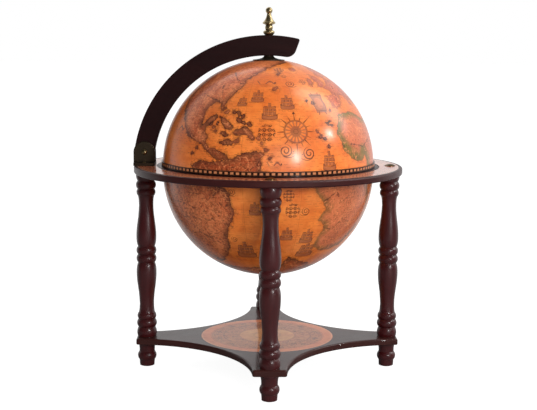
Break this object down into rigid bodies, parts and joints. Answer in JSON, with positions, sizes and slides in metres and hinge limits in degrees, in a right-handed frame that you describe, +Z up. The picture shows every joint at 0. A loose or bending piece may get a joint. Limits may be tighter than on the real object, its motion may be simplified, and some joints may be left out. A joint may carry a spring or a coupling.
{
  "type": "tabletop globe bar",
  "caption": "Tabletop globe bar on turned legs: the upper half of the globe lifts with a hinged meridian arm and uncovers a bottle and glass rack in the lower half.",
  "frame": {"origin": "on the table under the globe's axis", "axes": "+Z up along the globe's axis, the hinge bracket on -X, the legs on the X and Y axes, the front on -Y"},
  "size_m": [0.4202, 0.42, 0.5685],
  "materials": {
    "dark_wood": "semi-gloss lacquer",
    "rack_wood": "satin lacquer",
    "shell": "moulded wood fibre",
    "map_print": "lacquered printed paper",
    "stand_print": "lacquered printed paper",
    "band_print": "inlaid band under lacquer",
    "lining_paper": "lacquered lining paper",
    "antique_brass": "antiqued",
    "bright_brass": "polished",
    "steel": "plain",
    "felt": "felt"
  },
  "bodies": {
    "stand": {"ring": "dark_wood", "ring_print": "stand_print", "leg_left": "dark_wood", "leg_front": "dark_wood", "leg_right": "dark_wood", "leg_back": "dark_wood", "foot_left": "dark_wood", "foot_front": "dark_wood", "foot_right": "dark_wood", "foot_back": "dark_wood", "pad_left": "felt", "pad_front": "felt", "pad_right": "felt", "pad_back": "felt", "shelf": "dark_wood", "shelf_print": "stand_print", "leg_screws": "steel", "foot_dowels": "steel", "cap_front": "antique_brass", "cap_right": "antique_brass", "cap_back": "antique_brass", "bowl": "shell", "bowl_rim": "dark_wood", "bowl_map": "map_print", "bowl_lining": "lining_paper", "floor_plate": "rack_wood", "rack_plate": "rack_wood", "rack_post_1": "rack_wood", "rack_post_2": "rack_wood", "rack_post_3": "rack_wood", "rack_screws": "steel", "hinge_bracket": "antique_brass", "bracket_screws": "bright_brass", "hinge_pin": "bright_brass", "hinge_nut": "bright_brass"},
    "arm": {"meridian_arm": "dark_wood", "finial": "antique_brass", "pole_flange": "antique_brass", "pole_bolt": "steel", "pole_washer": "steel", "pole_nut": "steel"},
    "lid": {"lid": "shell", "lid_map": "map_print", "lid_lining": "lining_paper", "lid_band": "band_print", "lid_rim": "rack_wood", "pole_block": "rack_wood"}
  },
  "joints": [
    {"name": "lid_hinge", "type": "hinge", "parent": "stand", "child": "arm", "pos_m": [-0.19338, 0, 0.344], "axis": [0, -1, 0], "range_deg": [0, 95]},
    {"name": "lid_turn", "type": "hinge", "parent": "arm", "child": "lid", "pos_m": [0, 0, 0.4], "axis": [0, 0, 1], "continuous": true}
  ]
}
